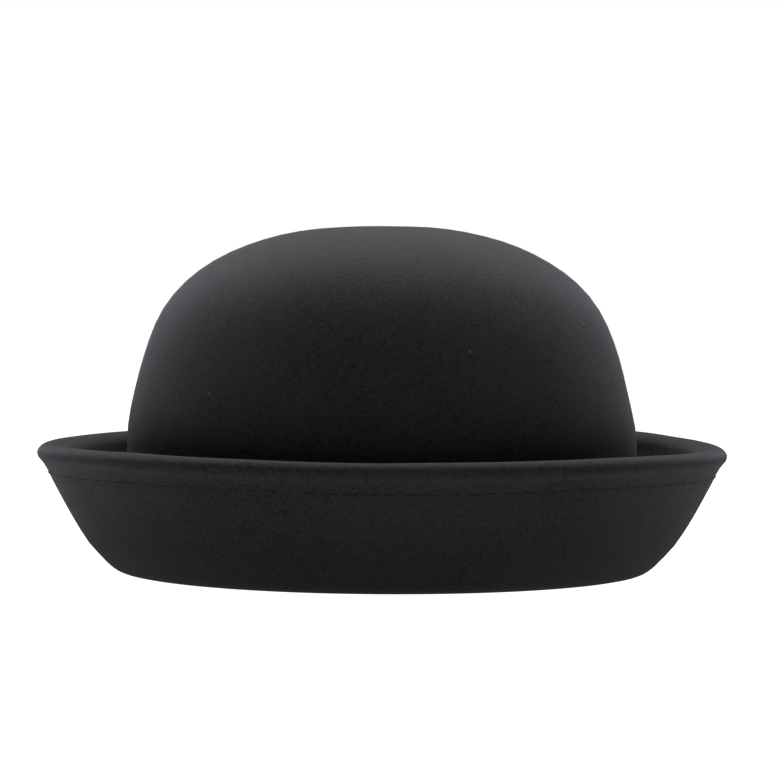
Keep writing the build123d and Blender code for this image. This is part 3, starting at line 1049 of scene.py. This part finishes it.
class HAT_OT_labels(bpy.types.Operator):
    """Sew in the blank size label and the blank care label, which lifts as a flap"""

    bl_idname = "hat.labels"
    bl_label = "Labels"

    SIZE_ANGLE, SIZE_HALF = 73.0, 4.5  # degrees
    SIZE_DEPTH = 3.42 * MM  # of its middle, inside the crown's outer face
    SIZE_LIFT, SIZE_WAVE = 0.25 * MM, 0.06 * MM
    SIZE_WIDTH_DEPTH, SIZE_WIDTH_EXTRA = 3.3 * MM, 1.03
    CARE_CURL, CARE_CUP, CARE_WAVE = 0.9 * MM, 0.5 * MM, 0.12 * MM
    CARE_WAVES, CARE_TAPER = 9.0, 0.01
    TACK_LENGTH, TACK_SPACING = 2.4 * MM, 2.6  # the spacing in degrees
    # Each row of tacks: the piece under it, its height, its middle, and how many.
    TACK_ROWS = [
        ("ribbon_band", 34.7 * MM, BACK, 5),
        ("size_tab", 29.6 * MM, SIZE_ANGLE, 3),
        ("size_tab", 16.4 * MM, SIZE_ANGLE, 3),
    ]

    def execute(self, context):
        settings = context.scene.hat_band
        satin = ribbon_cloth(
            "satin label tape",
            settings.label_colour,
            ribs=60.0,
            threads=90.0,
            relief=0.03 * MM,
            roughness=0.5,
            sheen=0.15,
        )
        self.size_label(settings, satin)
        self.care_label(settings, satin)
        self.tacks(context.scene.hat_sewing)
        return {"FINISHED"}

    def size_label(self, settings, satin):
        """The tab lies on the sweatband, with soft corners that stand off a little."""
        low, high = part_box("size_label")
        middle, half = math.radians(self.SIZE_ANGLE), math.radians(self.SIZE_HALF)

        def place(along, up):
            angle = middle + half * (2 * along - 1)
            height = low.z + (high.z - low.z) * up
            corner = abs(2 * along - 1) ** 4 * abs(2 * up - 1) ** 4
            depth = self.SIZE_DEPTH + self.SIZE_LIFT * corner
            depth += self.SIZE_WAVE * noise.noise(Vector((along * 4, up * 4, 3.0)))
            return oval_point(crown_half_width(height, depth), height, angle)

        tab = bent_strip(24, 24, place)
        label = make_piece(tab, "size_tab", HAT, satin, ["size_label"])
        thicken(label, settings.label_thickness)
        width = 2 * half * crown_half_width(low.z, self.SIZE_WIDTH_DEPTH) * self.SIZE_WIDTH_EXTRA

    def care_label(self, settings, satin):
        """The flap hangs from its sewn top edge and curls a little at its free corners."""
        low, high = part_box("care_label")
        middle_y = (low.y + high.y) / 2

        def place(along, up):
            side, drop = 2 * along - 1, 1 - up
            curl = self.CARE_CURL * drop**2 + self.CARE_CUP * side**2 * drop
            curl += self.CARE_WAVE * math.sin(drop * self.CARE_WAVES) * drop
            x = (low.x + (high.x - low.x) * along) * (1 - self.CARE_TAPER * drop)
            return Vector((x, middle_y - curl, low.z + (high.z - low.z) * up))

        flap = bent_strip(28, 36, place)
        label = make_piece(flap, "care_flap", CARE_LABEL, satin, ["care_label"])
        thicken(label, settings.label_thickness)

    def tacks(self, sewing):
        """Short stitches along the care label's top edge and the size label's two ends."""
        trees = {name: face_tree(name) for name in ("ribbon_band", "size_tab")}
        seats = []
        for surface, height, middle, count in self.TACK_ROWS:
            for number in range(count):
                angle = middle + self.TACK_SPACING * (number - (count - 1) / 2)
                seats.append(band_seat(trees[surface], math.radians(angle), height))
        stitch = stitch_mesh(self.TACK_LENGTH, sewing.thread, BAND_RISE, BAND_DIVE)
        thread = bpy.data.materials["sewing thread"]
        tacks = sew(seats, stitch)
        make_piece(tacks, "label_thread", HAT, thread, ["label_stitching"])


class HAT_OT_stage(bpy.types.Operator):
    """Set the hat on a pale floor in soft white light, and aim the camera"""

    bl_idname = "hat.stage"
    bl_label = "Stage"

    WHITE = (1.0, 1.0, 1.0, 1.0)
    # The floor glows as a stand-in lamp, with a painted shadow of the brim round the hat: its glow
    # in that painted shadow, past it, and painted brighter patches, more to the left than to the
    # right.
    FLOOR_HALF = 6.0
    SHADOW_START, SHADOW_END = 0.11, 0.21
    SHADOW_LIGHT, OPEN_LIGHT = 0.7, 1.2
    SIDE_LIGHTS = [(-0.1, -0.24, 2.4), (0.1, 0.24, 1.2)]  # from X, to X, and how much more
    SEEN_LIGHT = 1.15
    # The sky dims between these sines of its height over the horizon.
    DIM_START, DIM_END, DIMMING = 0.14, 0.5, -0.8
    SOFTBOX_PLACE, SOFTBOX_SIZE, SOFTBOX_AIM = (0.0, 0.45, 1.05), 1.0, (0, 0, 0.05)
    CAMERA_X, CAMERA_DOWN, CAMERA_ROLL = 3.1 * MM, 0.967, 0.35  # the angles in degrees

    def execute(self, context):
        settings = context.scene.hat_stage
        self.floor()
        self.surround(context.scene, settings)
        self.softbox(settings)
        self.camera(context.scene, settings)
        context.scene.view_settings.view_transform = "Standard"
        return {"FINISHED"}

    def floor(self):
        """A pale floor that glows over-exposed to plain white for the camera, and lights the hat
        with a painted shadow of the brim and painted brighter patches to the sides.
        """

        def finish(nodes, place):
            grain = nodes.noise(place, 3.0, 2.0)[0]
            reach = nodes.add("ShaderNodeVectorMath", {0: place}, operation="LENGTH")["Value"]
            # painted light: the glow that lights the hat is dimmed in a painted shadow of the brim
            # and raised in painted patches to the sides, while camera rays get an even glow
            past = nodes.ramp(reach, self.SHADOW_START, self.SHADOW_END)
            light = nodes.line(past, self.OPEN_LIGHT, self.SHADOW_LIGHT)
            across = nodes.add("ShaderNodeSeparateXYZ", {0: place})[0]
            for low, high, extra in self.SIDE_LIGHTS:
                aside = nodes.math("MULTIPLY", nodes.ramp(across, low, high), extra)
                light = nodes.math("ADD", light, aside)
            seen = nodes.add("ShaderNodeLightPath")["Is Camera Ray"]
            more = nodes.math("SUBTRACT", self.SEEN_LIGHT, light)
            return {
                "Base Color": nodes.mix(grain, shade((1, 1, 1), 0.05), shade((1, 1, 1), 0.07)),
                "Roughness": 0.9,
                "Specular IOR Level": 0.0,
                "Emission Color": self.WHITE,
                "Emission Strength": nodes.math("ADD", light, nodes.math("MULTIPLY", seen, more)),
            }

        bm = bmesh.new()
        bmesh.ops.create_grid(bm, x_segments=2, y_segments=2, size=self.FLOOR_HALF)
        mesh = bpy.data.meshes.new("studio_floor")
        bm.to_mesh(mesh)
        bm.free()
        mesh.materials.append(new_material("studio floor", finish))
        floor = bpy.data.objects.new("studio_floor", mesh)
        bpy.context.scene.collection.objects.link(floor)

    def surround(self, scene, settings):
        """White light from all round the horizon, and dimmer higher up."""
        world = bpy.data.worlds.new("white surround")
        world.use_nodes = True
        nodes = Nodes(world.node_tree)
        way = nodes.add("ShaderNodeTexCoord")["Object"]
        height = nodes.add("ShaderNodeSeparateXYZ", {0: way})[2]
        light = nodes.line(nodes.ramp(height, self.DIM_START, self.DIM_END), self.DIMMING, 1.0)
        strength = nodes.math("MULTIPLY", light, settings.surround)
        background = world.node_tree.nodes["Background"]
        nodes.feed(background, {"Color": self.WHITE, "Strength": strength})
        scene.world = world

    def softbox(self, settings):
        """A round softbox above and behind the hat."""
        data = bpy.data.lights.new("softbox_top", "AREA")
        data.shape = "DISK"
        data.size = self.SOFTBOX_SIZE
        data.energy = settings.top_light
        light = bpy.data.objects.new("softbox_top", data)
        light.location = self.SOFTBOX_PLACE
        aim = Vector(self.SOFTBOX_AIM) - light.location
        light.rotation_euler = aim.to_track_quat("-Z", "Y").to_euler()
        bpy.context.scene.collection.objects.link(light)

    def camera(self, scene, settings):
        """A long lens that looks straight at the hat's front."""
        data = bpy.data.cameras.new("camera")
        data.lens = settings.lens
        data.sensor_width = 36.0
        camera = bpy.data.objects.new("camera", data)
        camera.location = (self.CAMERA_X, -settings.camera_distance, settings.camera_height)
        tilt = Matrix.Rotation(math.radians(90 - self.CAMERA_DOWN), 4, "X")
        roll = Matrix.Rotation(math.radians(self.CAMERA_ROLL), 4, "Z")
        camera.rotation_euler = (tilt @ roll).to_euler()
        scene.collection.objects.link(camera)
        scene.camera = camera


# --------------------------------------------------------------------------- add-on


class HAT_PT_panel(bpy.types.Panel):
    """The hat's pieces and their settings"""

    bl_idname = "HAT_PT_panel"
    bl_label = "Bowler Hat"
    bl_space_type = "VIEW_3D"
    bl_region_type = "UI"
    bl_category = "Bowler Hat"

    def draw(self, context):
        for name, group in SETTINGS.items():
            box = self.layout.box()
            values = getattr(context.scene, name)
            for prop in group.__annotations__:
                box.prop(values, prop)
        for operator in OPERATORS:
            self.layout.operator(operator.bl_idname)


SETTINGS = {
    "hat_felt": HatFeltSettings,
    "hat_sewing": HatSewingSettings,
    "hat_band": HatBandSettings,
    "hat_stage": HatStageSettings,
}
OPERATORS = [
    HAT_OT_felt,
    HAT_OT_rim_wire,
    HAT_OT_hem_thread,
    HAT_OT_ribbon,
    HAT_OT_band_thread,
    HAT_OT_labels,
    HAT_OT_stage,
]


def register():
    for cls in (*SETTINGS.values(), *OPERATORS, HAT_PT_panel):
        bpy.utils.register_class(cls)
    for name, group in SETTINGS.items():
        setattr(bpy.types.Scene, name, PointerProperty(type=group))


def unregister():
    for name in SETTINGS:
        delattr(bpy.types.Scene, name)
    for cls in reversed((*SETTINGS.values(), *OPERATORS, HAT_PT_panel)):
        bpy.utils.unregister_class(cls)


def main():
    register()
    for operator in OPERATORS:
        category, name = operator.bl_idname.split(".")
        getattr(getattr(bpy.ops, category), name)()


if __name__ == "__main__":
    main()
